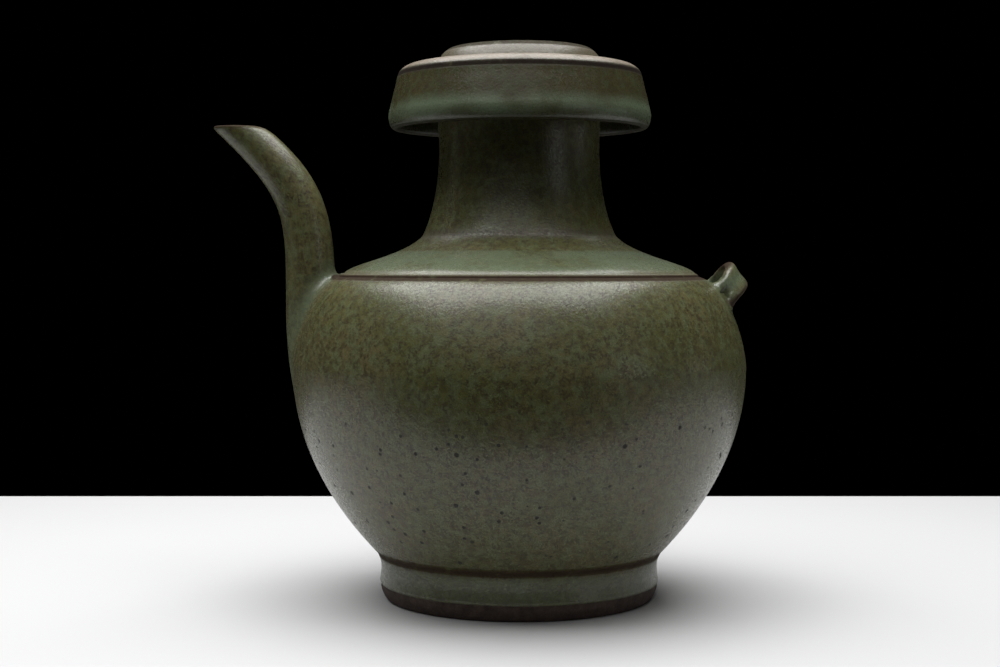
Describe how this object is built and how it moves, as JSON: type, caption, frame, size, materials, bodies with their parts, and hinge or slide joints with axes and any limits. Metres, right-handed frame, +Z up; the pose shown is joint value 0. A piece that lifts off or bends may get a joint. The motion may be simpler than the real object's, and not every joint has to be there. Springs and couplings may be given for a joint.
{
  "type": "ewer",
  "caption": "Celadon-glazed stoneware ewer with a round body, a slender curved spout, a small strap lug and a deep cap lid that lifts off.",
  "frame": {"origin": "middle of the whole ewer's box, on the surface that the foot ring stands on", "axes": "+Z up along the turned axis, -X towards the spout, +X towards the lug, -Y towards the viewer of the picture"},
  "size_m": [0.194, 0.1642, 0.1993],
  "materials": {
    "jug_glaze": "glossy olive green celadon glaze, bare brown clay at the foot",
    "lid_glaze": "glossy grey green celadon glaze"
  },
  "bodies": {
    "root": {"jug_body": "jug_glaze", "jug_shoulder_and_neck": "jug_glaze", "jug_spout": "jug_glaze", "jug_lug": "jug_glaze", "lid": "lid_glaze"}
  },
  "joints": []
}
